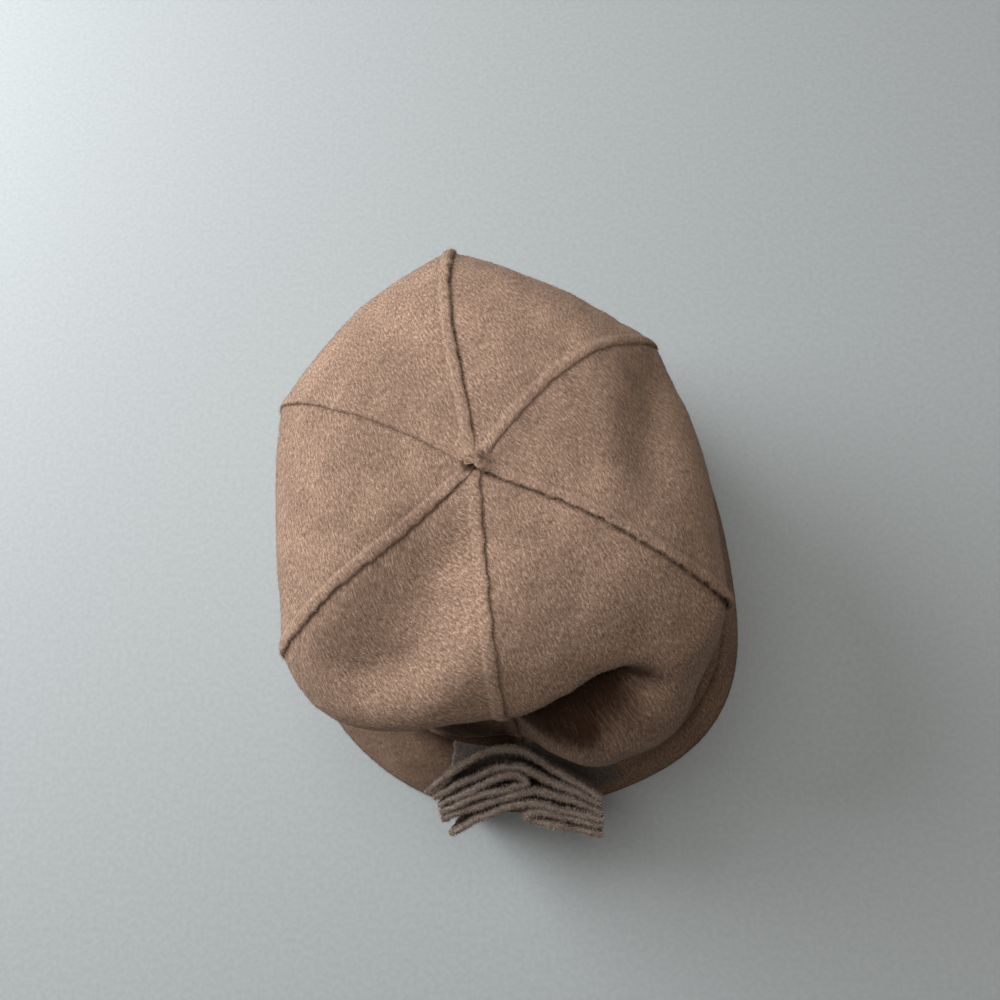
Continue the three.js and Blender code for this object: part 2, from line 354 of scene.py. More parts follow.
def seam_pair(g):
    """The two seams of a gore, with the second one's angle past the first one's."""
    start, end = SEAMS[g], SEAMS[(g + 1) % len(SEAMS)]
    if end.angle < start.angle:
        end = end._replace(angle=end.angle + 360)
    return start, end


def wandering_sway(seam, down):
    return seam.sway + SEAM_WANDER * np.sin(down / 12 + seam.reach)


def gore_point(g, share, down, depth=0.0):
    """A point of one gore: share across it, way down the felt and depth under its outer face."""
    start, end = seam_pair(g)
    from_angle, to_angle = math.radians(start.angle), math.radians(end.angle)
    share, down = np.broadcast_arrays(np.asarray(share, float), np.asarray(down, float))
    section = read_rows(CROWN_SECTIONS, down)
    first, last = polar(start.reach, from_angle), polar(end.reach, to_angle)
    side = last - first
    out = unit(np.array([side[1], -side[0]]))
    fullness = 4 * share * (1 - share) * GORES[g].bulge * (1 + GORES[g].skew * (1 - 2 * share))
    corners = first + share[..., None] * side + fullness[..., None] * out

    bend = np.sin(np.pi * np.minimum(section.reach, 1))
    first_sway = wandering_sway(start, down) * (1 - share) * bend
    last_sway = wandering_sway(end, down) * share * bend
    sway = first_sway[..., None] * polar(1, from_angle + np.pi / 2)
    sway = sway + last_sway[..., None] * polar(1, to_angle + np.pi / 2)
    hem_angle = from_angle + (to_angle - from_angle) * share
    hem = polar(hem_reach(hem_angle), hem_angle)
    drape = section.drape[..., None]
    plan = (corners * section.reach[..., None] + sway) * (1 - drape) + hem * drape

    height = section.height - (start.slump * (1 - share) + end.slump * share) * bend
    angle = np.arctan2(plan[..., 1], plan[..., 0])
    point = np.concatenate([plan + [0, CROWN_SHIFT], height[..., None]], -1)
    return point + outward(angle, section.lean) * (fold_push(angle, down) - depth)[..., None]


def brim_point(angle, out, depth_share=0.0):
    """A point of the brim at an angle about the crown's axis, on its upper or its lower face."""
    section = read_rows(BRIM_SECTIONS, out)
    plan = polar(hem_reach(angle) * (1 - out) + brim_reach(angle) * out, angle)
    point = np.concatenate([plan + [0, CROWN_SHIFT], section.height[..., None]], -1)
    return point - outward(angle, section.lean) * (section.felt * depth_share)[..., None]


def brim_height(plan):
    rel = plan - [0, CROWN_SHIFT]
    angle = np.arctan2(rel[..., 1], rel[..., 0])
    hem = hem_reach(angle)
    out = np.clip((np.linalg.norm(rel, axis=-1) - hem) / (brim_reach(angle) - hem), 0, 1)
    return read_rows(BRIM_SECTIONS, out).height


# Widths of the gores from seam to seam, read wherever a distance across the felt is needed
WIDTH_DOWNS = np.arange(1, HEM_DOWN + 1)
GORE_WIDTHS = [
    np.linalg.norm(gore_point(g, 1, WIDTH_DOWNS) - gore_point(g, 0, WIDTH_DOWNS), axis=-1)
    for g in range(len(GORES))
]
EDGE_SHARE = 0.03
FLAT_DOWN = 12.0


def gore_width(g, down):
    return np.interp(down, WIDTH_DOWNS, GORE_WIDTHS[g])


def past_seam(g, end, past, down, depth):
    """A point of a gore's face that lies past its seam at one end, or before it where past is negative."""
    width = np.maximum(gore_width(g, down), 0.5)
    inside = np.clip(-past / width, 0, 1)
    point = gore_point(g, 1 - inside if end else inside, down, depth)
    flat_down = np.maximum(down, FLAT_DOWN)
    seam, near = (1, 1 - EDGE_SHARE) if end else (0, EDGE_SHARE)
    beyond = unit(gore_point(g, seam, flat_down, depth) - gore_point(g, near, flat_down, depth))
    return point + np.maximum(past, 0)[..., None] * beyond


def crown_point(g, across, down, depth=0.0):
    """A point of the crown, by gore and millimetres across it, with its seams' corners rounded."""
    width = gore_width(g, down)
    before, after = (g - 1) % len(GORES), (g + 1) % len(GORES)
    to_end = width - across
    own = gore_point(g, np.clip(across / np.maximum(width, 0.5), 0, 1), down, depth)
    own = np.where((across < 0)[..., None], past_seam(g, 0, -across, down, depth), own)
    own = np.where((to_end < 0)[..., None], past_seam(g, 1, -to_end, down, depth), own)
    bend = np.minimum(CORNER_ROUND, 0.3 * width + 0.01)
    start_share = smoothstep(across, -bend, bend)[..., None]
    end_share = smoothstep(to_end, -bend, bend)[..., None]
    point = past_seam(before, 1, across, down, depth) * (1 - start_share) + own * start_share
    return past_seam(after, 0, to_end, down, depth) * (1 - end_share) + point * end_share


def waves(points, seed, count, shortest, longest):
    """Smooth seeded unevenness, about -1 to 1, at points in any number of dimensions."""
    rng = np.random.default_rng(seed)
    total = 0
    for _ in range(count):
        direction = unit(rng.normal(size=points.shape[-1]))
        length = rng.uniform(shortest, longest)
        total = total + np.sin(2 * np.pi * (points @ direction) / length + rng.uniform(0, 2 * np.pi))
    return total / math.sqrt(count)


def grid_normals(points):
    """Outward normals of a grid of points, whose rows run down and whose columns run anticlockwise."""
    down = np.gradient(points, axis=0)
    across = np.gradient(points, axis=1)
    return unit(np.cross(down, across))


# Columns of a gore's points, by the distance from each raw edge and by number between
EDGE_OFFSETS = np.array(
    [0, 0.2, 0.45, 0.8, 1.2, 1.7, 2.2, 2.7, 3.1, 3.5, 3.9, 4.4, 4.9, 5.5, 6.3, 7.4, 9.0]
)
MIDDLE_COLUMNS = 34

# Rows of a gore's points
TIP_STEP, BODY_STEP, HEM_STEP = 0.55, 1.55, 0.6
TIP_ROWS_END, BODY_ROWS_START = 9, 9.2
BODY_ROWS_END, HEM_ROWS_START = HEM_DOWN - 5, HEM_DOWN - 4.6


def gore_rows(gore):
    """The ways down at which a gore has rows of points, close together at its tip and its hem."""
    tip = np.arange(1 - gore.tip_past, TIP_ROWS_END, TIP_STEP)
    body = np.arange(BODY_ROWS_START, BODY_ROWS_END, BODY_STEP)
    hem = np.arange(HEM_ROWS_START, HEM_DOWN + HEM_LAP + 0.1, HEM_STEP)
    return np.concatenate([tip, body, hem])


def seam_shows(seam, down):
    """How much of a seam shows, from 0 near the apex, where it is pressed flat, to 1 further down."""
    return smoothstep(down, seam.faint * 0.6, seam.faint * 1.8)


def painted_seam_shadow(distance, seam, down, line):
    """Painted shadow beside the raw edge that lies over a gore, by the distance from the gore's own edge."""
    reach = SHADOW_REACH + SHADOW_GROWTH * seam.mark * (1 + smoothstep(down, *SHADOW_WIDENS))
    near = fade(np.maximum(distance - UNDER_RUN - OVER_RUN, 0), reach)
    uneven = 0.8 + 0.2 * waves(line, SEED + 65, 8, 3, 18)[:, None]
    darkening = 0.75 + 0.25 * smoothstep(down, *SHADOW_DARKENS)
    return near * seam.mark * seam_shows(seam, down) * uneven * darkening


def painted_tongue_shade(plan):
    """Painted shade round the first gore's tip, on the gores it lies over, at places measured from the
    crown's axis.
    """
    start, end = seam_pair(0)
    middle = math.radians((start.angle + end.angle) / 2)
    along = -(plan @ np.array([math.cos(middle), math.sin(middle)]))
    side = plan @ np.array([-math.sin(middle), math.cos(middle)])
    away = np.hypot(np.maximum(along - TONGUE_REACH, 0), side) - TONGUE_HALF
    near = fade(np.maximum(away, 0), TONGUE_FADE)
    return TONGUE_SHADE * near * smoothstep(along, *TONGUE_START)


def lap_height(distance, lap, seam, down):
    """Height of the felt beside a seam, by the distance from the gore's own raw edge."""
    rows = OVER_LAP if lap > 0 else UNDER_LAP
    height = read_rows(rows, np.minimum(distance, rows[-1].inside)).height
    height = height * (0.2 + 0.8 * seam.mark * seam_shows(seam, down))
    for lift in LIFTS:
        if lap > 0 and lift.seam == seam.name:
            rise = fade(down - lift.down, lift.spread)
            height = height + lift.height * rise * smoothstep(LIFT_REACH - distance, 0, LIFT_REACH)
    return height


# A wall's edge is the paleness of raw edges with a painted highlight on lap ridges; its painted shade
# darkens the colour in seams, folds and creases
Wall = namedtuple("Wall", "upper lower normals nap chart edge groove")


def gore_columns(gore, width, downs):
    """Distances of a gore's columns from its first raw edge, its whole width and the run past its seam."""
    before = OVER_RUN if gore.start_lap > 0 else UNDER_RUN
    after = OVER_RUN if gore.end_lap > 0 else UNDER_RUN
    tip_length = max(gore.tip_past, 0) + 1.2
    tip_share = np.clip(1.5 - downs, 0, None) / tip_length
    tip_round = np.sqrt(np.clip(1 - tip_share**2, 0.08, 1))[:, None]
    before, after = before * tip_round, after * tip_round
    total = width + before + after
    scale = np.minimum(1, 0.42 * total / EDGE_OFFSETS[-1])
    left = EDGE_OFFSETS * scale
    middle = np.linspace(0, 1, MIDDLE_COLUMNS + 2)[1:-1]
    inner = left[:, -1:] + (total - 2 * left[:, -1:]) * middle
    place = np.concatenate([left, inner, (total - left)[:, ::-1]], 1)
    return place, total, before


def lap_over_brim(point, under, downs, angle):
    """A gore's faces with the last rows laid over the brim's upper edge, and how far each row lies there."""
    past_hem = np.maximum(downs - HEM_DOWN, 0)[:, None]
    slope = brim_point(angle, 0 * angle + SLOPE_SHARE) - brim_point(angle, 0 * angle)
    slope_length = np.linalg.norm(slope, axis=-1)
    on_brim = brim_point(angle, np.broadcast_to(SLOPE_SHARE * past_hem, angle.shape) / slope_length)
    brim_lean = outward(angle, HEM_LEAN)
    flare = smoothstep(downs, *HEM_FLARE)[:, None, None]
    point = point + flare * (on_brim + brim_lean * HEM_UPPER - point)
    under = under + flare * (on_brim + brim_lean * HEM_LOWER - under)
    return point, under, flare


def gore_marks(sides, down, line, start_painted_shade):
    """Pale raw edges and painted highlight on lap ridges, with painted shade of seams and pressed lines
    added to that of folds.
    """
    edge, groove = np.zeros(down.shape), start_painted_shade
    for distance, lap, seam in sides:
        if lap > 0:
            # Paleness of the raw edge, and a painted highlight on the ridge over the neighbour's raw edge
            raw = fade(distance, RAW_WIDTH)
            ridge = fade(distance - RIDGE_PLACE, RIDGE_WIDTH)
            edge = edge + (raw + 0.5 * ridge) * seam.mark
            # Painted shade along the pressed line
            pressed_line = fade(distance - PRESSED_PLACE, PRESSED_WIDTH)
            groove = groove + PRESSED_SHADE * pressed_line * seam.mark * seam_shows(seam, down)
        else:
            # Painted shadow of the neighbour's raw edge that lies over this gore
            groove = groove + painted_seam_shadow(distance, seam, down, line)
    return edge, groove


def gore_wall(g):
    """The faces of one gore's felt, with what its material and its nap need at each point."""
    gore = GORES[g]
    start, end = seam_pair(g)
    downs = gore_rows(gore)
    on_felt = np.clip(downs, 1, HEM_DOWN)[:, None]
    width = gore_width(g, on_felt)
    place, total, before = gore_columns(gore, width, downs)
    from_start, from_end = place, total - place

    line = np.stack([downs, 0 * downs + 50 * g], -1)
    ragged_start = (0.18 + 0.2 * start.mark) * waves(line, SEED + g, 9, 2.5, 14)[:, None]
    ragged_end = (0.18 + 0.2 * end.mark) * waves(line, SEED + 20 + g, 9, 2.5, 14)[:, None]
    across = place - before + ragged_start * np.exp(-from_start / 2.5) - ragged_end * np.exp(-from_end / 2.5)
    down = np.broadcast_to(on_felt, across.shape)

    point = crown_point(g, across, down)
    under = crown_point(g, across, down, FELT)
    middle_angle = math.radians((start.angle + end.angle) / 2)
    bisector = np.array([math.cos(middle_angle), math.sin(middle_angle), 0])
    past_tip = np.minimum(downs - 1, 0)[:, None, None] * bisector
    point, under = point + past_tip, under + past_tip
    rel = point[..., :2] - [0, CROWN_SHIFT]
    angle = np.arctan2(rel[..., 1], rel[..., 0])
    point, under, flare = lap_over_brim(point, under, downs, angle)

    normals = grid_normals(point)
    lap = lap_height(from_start, gore.start_lap, start, down) + lap_height(from_end, gore.end_lap, end, down)
    lap = np.clip(lap, UNDER_LAP[0].height, HIGHEST_LAP)
    tip_share = smoothstep(down, *TIP_REGION)
    lap = gore.tip_lift * (1 - tip_share) + lap * tip_share
    lap = lap * (1 + 0.12 * waves(line, SEED + 60 + g, 6, 5, 20)[:, None])
    uneven = 0.42 * waves(point, SEED + 40, 14, 26, 75) + 0.13 * waves(point, SEED + 41, 24, 7, 16)
    uneven = uneven * (1 + 1.2 * smoothstep(down, 112, 138))
    rise = (lap + uneven * (1 - flare[..., 0]))[..., None]
    upper = point + normals * rise
    thinned = np.exp(-((np.minimum(from_start, from_end) / THIN_REACH) ** 4))
    lower = under + normals * (rise + THIN_BY * thinned[..., None])

    # Painted shade of the folds and the front lip, then of the first gore's tip on the others
    groove = fold_sum(PAINTED_FOLD_SHADES, angle, down)
    if g > 0:
        groove = groove + painted_tongue_shade(rel)
    sides = [(from_start, gore.start_lap, start), (from_end, gore.end_lap, end)]
    edge, groove = gore_marks(sides, down, line, groove)
    hem_edge = np.exp(-((downs[-1] - downs)[:, None] / 0.8))

    ahead, aside = math.cos(middle_angle), math.sin(middle_angle)
    turn = np.array([[ahead, aside], [-aside, ahead]])
    chart = np.stack([np.broadcast_to(downs[:, None], across.shape), across - width / 2], -1) @ turn
    chart = np.concatenate([chart, np.full(down.shape, GORE_GRAIN_STEP * g)[..., None]], -1)
    direction = np.array(NAP) @ turn.T
    down_way = unit(np.gradient(upper, axis=0))
    across_way = unit(np.gradient(upper, axis=1))
    nap = unit(down_way * direction[0] + across_way * direction[1])
    return Wall(upper, lower, grid_normals(upper), nap, chart, edge + 0.3 * hem_edge, np.clip(groove, 0, 1))


# Columns and rows of the brim's points, the last rows by their share short of its edge
BRIM_COLUMNS = 420
BRIM_ROWS, BRIM_ROWS_END = 34, 0.91
BRIM_EDGE_ROWS = np.array([0.075, 0.055, 0.04, 0.027, 0.016, 0.008, 0.003, 0])
# Painted shade on the brim behind the bow, under the crown's front lip
BEHIND_BOW_ANGLE, BEHIND_BOW_SPREAD, BEHIND_BOW_SHADE = -96, 17, 0.8


def brim_wall():
    """The faces of the brim, whose rows run out and whose columns run round it."""
    angle = np.linspace(0, 2 * np.pi, BRIM_COLUMNS, endpoint=False)[None, :]
    outs = np.concatenate([np.linspace(0, BRIM_ROWS_END, BRIM_ROWS), 1 - BRIM_EDGE_ROWS])[:, None]
    angle, out = np.broadcast_arrays(angle, outs)
    point = brim_point(angle, out)
    under = brim_point(angle, out, 1.0)
    normals = unit(outward(angle, read_rows(BRIM_SECTIONS, out).lean))
    calm = smoothstep(out, 0.0, 0.18) * (1 - smoothstep(out, 0.86, 0.99))
    push = calm * (0.7 * waves(point, SEED + 70, 12, 30, 90) + 0.14 * waves(point, SEED + 71, 20, 7, 16))
    # Painted shade at the curled rim and near the hem under the crown
    groove = 0.45 * smoothstep(out, 0.95, 1.0) + 0.5 * (1 - smoothstep(out, 0.0, 0.25))
    behind_bow = fade(turn_from(angle, BEHIND_BOW_ANGLE), BEHIND_BOW_SPREAD)
    groove = groove + BEHIND_BOW_SHADE * behind_bow * (1 - smoothstep(out, 0.1, 0.5))
    for crease in BRIM_CREASES:
        near = fade(turn_from(angle, crease.angle), crease.spread)
        wander = crease.out + 0.03 * np.sin(3 * angle + crease.angle)
        valley = fade(out - wander, crease.width)
        ridge = fade(out - wander - 1.6 * crease.width, crease.width)
        push = push + near * crease.depth * (0.6 * ridge - valley)
        # Painted shade in each crease's valley
        groove = groove + 0.3 * crease.depth * near * valley
    rounding = 0.55 * smoothstep(out, 0.985, 1.0)
    rise = (push - rounding)[..., None]
    upper = point + normals * rise
    lower = under + normals * push[..., None] * 0.9
    upper[..., 2] = np.maximum(upper[..., 2], LOWEST_UPPER)
    lower[..., 2] = np.maximum(lower[..., 2], LOWEST_LOWER)
    slant = hem_reach(angle) + np.linalg.norm(point - point[:1], axis=-1)
    chart = np.concatenate([polar(slant, angle), np.full(out.shape, BRIM_GRAIN)[..., None]], -1)
    flat_nap = np.array([*NAP, 0.0])
    nap = unit(flat_nap - normals * (normals @ flat_nap)[..., None])
    edge = 0.3 * np.exp(-((1 - out) / 0.02))
    return Wall(upper, lower, normals, nap, chart, edge, np.clip(groove, 0, 1))


def backing_wall():
    """The faces of the felt patch that lies on the brim under the bow."""
    angles = np.radians(np.linspace(*BACKING_ANGLES, 60))[None, :]
    outs = np.linspace(*BACKING_OUT, 36)[:, None]
    angle, out = np.broadcast_arrays(angles, outs)
    column = np.linspace(0, 1, angle.shape[1])[None, :]
    row = np.linspace(0, 1, angle.shape[0])[:, None]
    point = brim_point(angle, out)
    ragged = 0.004 * waves(point, SEED + 90, 10, 4, 14)
    near_side = np.exp(-np.minimum(column, 1 - column) / 0.04)
    near_end = np.exp(-np.minimum(row, 1 - row) / 0.06)
    point = brim_point(angle + ragged * near_side, out + ragged * near_end)
    uneven = 0.25 * waves(point, SEED + 91, 10, 8, 22)
    rim = np.minimum(np.minimum(column, 1 - column) * 75, np.minimum(row, 1 - row) * 38)
    rounding = 0.35 * np.exp(-rim / 0.5)
    up = np.array([0, 0, 1.0])
    upper = point + up * (REST_GAP + BACKING_FELT + np.abs(uneven) - rounding)[..., None]
    lower = point + up * (REST_GAP + 0 * uneven)[..., None]
    normals = grid_normals(upper)
    nap = unit(np.array([1.0, -0.2, 0]) - normals * normals[..., :1])
    chart = np.concatenate([point[..., :2], np.full(out.shape, BACKING_GRAIN)[..., None]], -1)
    return Wall(upper, lower, normals, nap, chart, np.exp(-rim / 0.8), 0 * out)


def smooth_path(knots, count):
    """Points evenly spread along a smooth curve through knots, with steps by the root of their distance."""
    knots = np.array(knots, float)
    ends = np.concatenate([[2 * knots[0] - knots[1]], knots, [2 * knots[-1] - knots[-2]]])
    steps = np.sqrt(np.linalg.norm(np.diff(ends, axis=0), axis=1))
    pieces = []
    for i in range(1, len(ends) - 2):
        before, step, after = steps[i - 1], steps[i], steps[i + 1]
        p0, p1, p2, p3 = ends[i - 1], ends[i], ends[i + 1], ends[i + 2]
        leaving = ((p1 - p0) / before - (p2 - p0) / (before + step) + (p2 - p1) / step) * step
        arriving = ((p2 - p1) / step - (p3 - p1) / (step + after) + (p3 - p2) / after) * step
        t = np.linspace(0, 1, 40, endpoint=False)[:, None]
        pieces.append(cubic(t, p1, p2, leaving, arriving))
    line = np.concatenate([*pieces, ends[-2:-1]])
    along = np.concatenate([[0], np.cumsum(np.linalg.norm(np.diff(line, axis=0), axis=1))])
    at = np.linspace(0, along[-1], count)
    return np.stack([np.interp(at, along, line[:, k]) for k in range(2)], -1), at


# A strip's edge is the paleness of its cut top, and its painted shade darkens its sides
Strip = namedtuple("Strip", "points normals nap chart edge groove length height")


# Points of a strip's section up each side and round its top edge, and of its path
SIDE_POINTS, TOP_POINTS = 13, 9
POINTS_PER_MM = 2.0


def strip_section():
    """A strip's section up one side, over its top edge and down the other: side, rise and roundness."""
    rise = np.linspace(0, 1, SIDE_POINTS)
    over = np.linspace(0, np.pi, TOP_POINTS)[1:-1]
    sides = np.concatenate([np.full(SIDE_POINTS, 1.0), np.cos(over), np.full(SIDE_POINTS, -1.0)])
    rises = np.concatenate([rise, np.full(len(over), 1.0), rise[::-1]])
    roundness = np.concatenate([np.zeros(SIDE_POINTS), np.sin(over), np.zeros(SIDE_POINTS)])
    return sides, rises, roundness


def strip_wall(bow, index):
    """A felt strip that stands on the backing, as rings of points round its section along its path."""
    path, at = smooth_path(bow.knots, int(POINTS_PER_MM * path_length(bow.knots)) + 1)
    forward = unit(np.gradient(path, axis=0))
    left = np.stack([-forward[:, 1], forward[:, 0]], -1)
    foot = brim_height(path) + BOW_REST
    line = np.stack([at, 0 * at + 31.0 * index], -1)
    top = BOW_TOP - 0.5 + 0.7 * waves(line, SEED + 100 + index, 7, 9, 40)
    half = BOW_FELT / 2 * (1 + 0.06 * waves(line, SEED + 110 + index, 8, 3, 12))
    end_room = np.minimum(at, at[-1] - at)
    half = half * (0.72 + 0.28 * smoothstep(end_room, 0, 0.9))
    flare = 0.12 * smoothstep(end_room, 4, 16)

    sides, rises, roundness = strip_section()
    height = (top - half * 0.8 - foot)[:, None] * rises + foot[:, None] + half[:, None] * 0.8 * roundness
    lean = 0.5 * waves(line, SEED + 120 + index, 5, 25, 60)[:, None] * rises**2
    place = np.stack([np.broadcast_to(at[:, None], height.shape), height], -1)
    wobble = 0.22 * waves(place, SEED + 130 + index, 12, 5, 18) * smoothstep(rises, 0, 0.2)
    spread = 1 + flare[:, None] * smoothstep(rises, 0.7, 1.0)
    shift = sides * spread * half[:, None] + lean + wobble
    plan = path[:, None, :] + left[:, None, :] * shift[..., None]
    points = np.concatenate([plan, height[..., None]], -1)
    along = unit(np.gradient(points, axis=0))
    round_way = unit(np.gradient(points, axis=1))
    normals = unit(np.cross(along, round_way))
    facing = np.einsum("ijk,ik->ij", normals[..., :2], left) * sides
    if facing.sum() < 0:
        normals = -normals
    grain = 0 * height + BOW_GRAIN + BOW_GRAIN_STEP * index
    chart = np.stack([place[..., 0], place[..., 1] + 5 * sides, grain], -1)
    rim = BOW_TOP - height
    edge = fade(np.maximum(rim, 0), 1.7)
    # Painted shade down the strip's sides below the top edge, in the gaps between strips, weaker on the side
    # that lies open
    hidden = np.where(sides * bow.open_side > 0, 0.2, 1.0)
    groove = smoothstep(rim, 0.6, 4.0) * hidden
    return Strip(points, normals, along, chart, edge, groove, at[-1], BOW_TOP - foot.mean())


def path_length(knots):
    return float(np.linalg.norm(np.diff(np.array(knots, float), axis=0), axis=1).sum())


def new_object(name, data):
    made = bpy.data.objects.new(name, data)
    bpy.context.scene.collection.objects.link(made)
    return made


def make_object(name, points, faces, marks, material, smooth=True):
    """A mesh object in metres in the frame's place, with named values at its points."""
    mesh = bpy.data.meshes.new(name)
    mesh.vertices.add(len(points))
    mesh.loops.add(faces.size)
    mesh.polygons.add(len(faces))
    placed = (points - [MIDDLE[0], MIDDLE[1], 0]) * MM
    mesh.vertices.foreach_set("co", placed.astype(np.float32).ravel())
    mesh.loops.foreach_set("vertex_index", faces.astype(np.int32).ravel())
    mesh.polygons.foreach_set("loop_start", np.arange(0, faces.size, faces.shape[1], dtype=np.int32))
    mesh.polygons.foreach_set("use_smooth", np.full(len(faces), smooth))
    for mark, values in marks.items():
        kind, field = ("FLOAT_VECTOR", "vector") if values.ndim == 2 else ("FLOAT", "value")
        layer = mesh.attributes.new(mark, kind, "POINT")
        layer.data.foreach_set(field, values.astype(np.float32).ravel())
    mesh.update(calc_edges=True)
    mesh.validate()
    mesh.materials.append(material)
    return new_object(name, mesh)


def grid_faces(rows, columns, first, ring=False, flip=False):
    """Quads of a grid of points numbered row by row from a first number."""
    i = np.arange(rows - 1)[:, None]
    j = np.arange(columns if ring else columns - 1)[None, :]
    after = (j + 1) % columns
    near, far = i * columns, (i + 1) * columns
    quads = np.stack([near + j, far + j, far + after, near + after], -1)
    quads = quads.reshape(-1, 4) + first
    return quads[:, ::-1] if flip else quads


def rim_faces(loop, offset, flip=False):
    """Quads between a closed loop of upper points and the same loop of lower points."""
    after = np.roll(loop, -1)
    quads = np.stack([loop, loop + offset, after + offset, after], -1)
    return quads[:, ::-1] if flip else quads


def wall_object(name, wall, material, ring=False):
    """One closed felt wall: its upper face, its lower face and its raw edge all round."""
    rows, columns = wall.upper.shape[:2]
    count = rows * columns
    points = np.concatenate([wall.upper.reshape(-1, 3), wall.lower.reshape(-1, 3)])
    faces = [
        grid_faces(rows, columns, 0, ring),
        grid_faces(rows, columns, count, ring, flip=True),
    ]
    index = np.arange(count).reshape(rows, columns)
    if ring:
        faces.append(rim_faces(index[0], count, flip=True))
        faces.append(rim_faces(index[-1], count))
    else:
        loop = np.concatenate([index[0, :-1], index[:-1, -1], index[-1, :0:-1], index[:0:-1, 0]])
        faces.append(rim_faces(loop, count, flip=True))
    deeper = np.repeat([[0, 0, 0], [0, 0, INSIDE_GRAIN]], count, axis=0)
    marks = {
        "felt": np.tile(wall.chart.reshape(-1, 3), (2, 1)) + deeper,
        "edge": np.tile(wall.edge.ravel(), 2),
        "groove": np.concatenate([wall.groove.ravel(), 0 * wall.groove.ravel()]),
    }
    return make_object(name, points, np.concatenate(faces), marks, material)


def strip_object(name, strip, material):
    """One closed felt strip, with its foot and both cut ends."""
    rings, around = strip.points.shape[:2]
    faces = [grid_faces(rings, around, 0)]
    foot = np.arange(rings - 1) * around
    faces.append(np.stack([foot, foot + around - 1, foot + 2 * around - 1, foot + around], -1))
    half = around // 2
    for first, flip in [(0, False), ((rings - 1) * around, True)]:
        k = np.arange(half)
        cap = np.stack([first + k, first + k + 1, first + around - 2 - k, first + around - 1 - k], -1)
        faces.append(cap[:-1, ::-1] if flip else cap[:-1])
    marks = {"felt": strip.chart.reshape(-1, 3), "edge": strip.edge.ravel(), "groove": strip.groove.ravel()}
    piece = make_object(name, strip.points.reshape(-1, 3), np.concatenate(faces), marks, material)
    make_outward(piece)
    return piece


def make_outward(piece):
    """Turns a closed mesh's faces to point out, whichever way they were numbered."""
    mesh = bmesh.new()
    mesh.from_mesh(piece.data)
    bmesh.ops.holes_fill(mesh, edges=[e for e in mesh.edges if e.is_boundary], sides=0)
    bmesh.ops.recalc_face_normals(mesh, faces=mesh.faces)
    mesh.to_mesh(piece.data)
    mesh.free()


Hairs = namedtuple("Hairs", "roots tips normals shade")

# Coats of hair: rise is how steeply a hair stands, and jitter how far it turns from the nap, in radians
Coat = namedtuple("Coat", "count length rise jitter")
GORE_COAT = Coat(15000, 1.15, 0.3, 0.6)
LAP_COAT = Coat(1500, 1.5, 0.45, 0.9)
BRIM_COAT = Coat(19000, 1.5, 0.24, 0.4)
BRIM_EDGE_COAT = Coat(3500, 1.4, 0.5, 1.2)
BACKING_COAT = Coat(2500, 1.2, 0.35, 0.8)
BOW_COAT = Coat(5200, 1.0, 0.9, 1.6)
HAIR_THICK, BOW_HAIR_THICK = 0.13, 0.21
HAIR_SUNK = 0.12
HAIR_LENGTH_SPREAD, HAIR_LENGTH_RANGE = 0.35, (0.4, 2.2)
HAIR_SHADE = (0.46, 0.27)

# Share of the hairs that the darkest painted shade hides, and the columns and rows that edge hairs grow on
PAINTED_SHADE_HIDES = 0.92
LAP_COLUMNS, BRIM_EDGE_COUNT = 4, 6


def scatter_hairs(rng, points, normals, nap, weight, coat):
    """Short hairs spread over a grid of points by area times weight, lying mostly along the nap."""
    a, b, c, d = points[:-1, :-1], points[1:, :-1], points[1:, 1:], points[:-1, 1:]
    area = np.linalg.norm(np.cross(c - a, d - b), axis=-1) / 2
    chance = (area * (weight[:-1, :-1] + weight[1:, 1:])).ravel()
    cell = rng.choice(chance.size, coat.count, p=chance / chance.sum())
    i, j = np.unravel_index(cell, area.shape)
    u, v = rng.random((2, coat.count, 1))

    def between(grid):
        return (
            grid[i, j] * (1 - u) * (1 - v)
            + grid[i + 1, j] * u * (1 - v)
            + grid[i + 1, j + 1] * u * v
            + grid[i, j + 1] * (1 - u) * v
        )

    root, normal, way = between(points), unit(between(normals)), unit(between(nap))
    side = np.cross(normal, way)
    turn = rng.normal(0, coat.jitter, (coat.count, 1))
    lift = np.abs(rng.normal(coat.rise, coat.rise * 0.5, (coat.count, 1)))
    level = way * np.cos(turn) + side * np.sin(turn)
    direction = unit(level * np.cos(lift) + normal * np.sin(lift))
    lengths = rng.lognormal(0, HAIR_LENGTH_SPREAD, (coat.count, 1))
    reach = coat.length * np.clip(lengths, *HAIR_LENGTH_RANGE)
    root = root - normal * HAIR_SUNK
    tip = root + direction * reach
    root[:, 2] = np.maximum(root[:, 2], LOWEST_HAIR)
    tip[:, 2] = np.maximum(tip[:, 2], LOWEST_HAIR)
    return Hairs(root, tip, normal, rng.normal(*HAIR_SHADE, coat.count))


def join_hairs(*groups):
    return Hairs(*[np.concatenate(parts) for parts in zip(*groups)])


def hair_object(name, hairs, thick, material):
    """All of a piece's hairs as one mesh of closed three-sided spikes."""
    along = unit(hairs.tips - hairs.roots)
    first = unit(np.cross(along, hairs.normals + 1e-4))
    second = np.cross(along, first)
    turns = np.arange(3) * 2 * np.pi / 3
    corners = [hairs.roots + thick / 2 * (math.cos(t) * first + math.sin(t) * second) for t in turns]
    points = np.stack([*corners, hairs.tips], 1).reshape(-1, 3)
    spike = np.array([[0, 1, 3], [1, 2, 3], [2, 0, 3], [0, 2, 1]])
    faces = (np.arange(len(along))[:, None, None] * 4 + spike).reshape(-1, 3)
    marks = {"shade": np.repeat(np.clip(hairs.shade, 0, 1), 4)}
    return make_object(name, points, faces, marks, material, smooth=False)


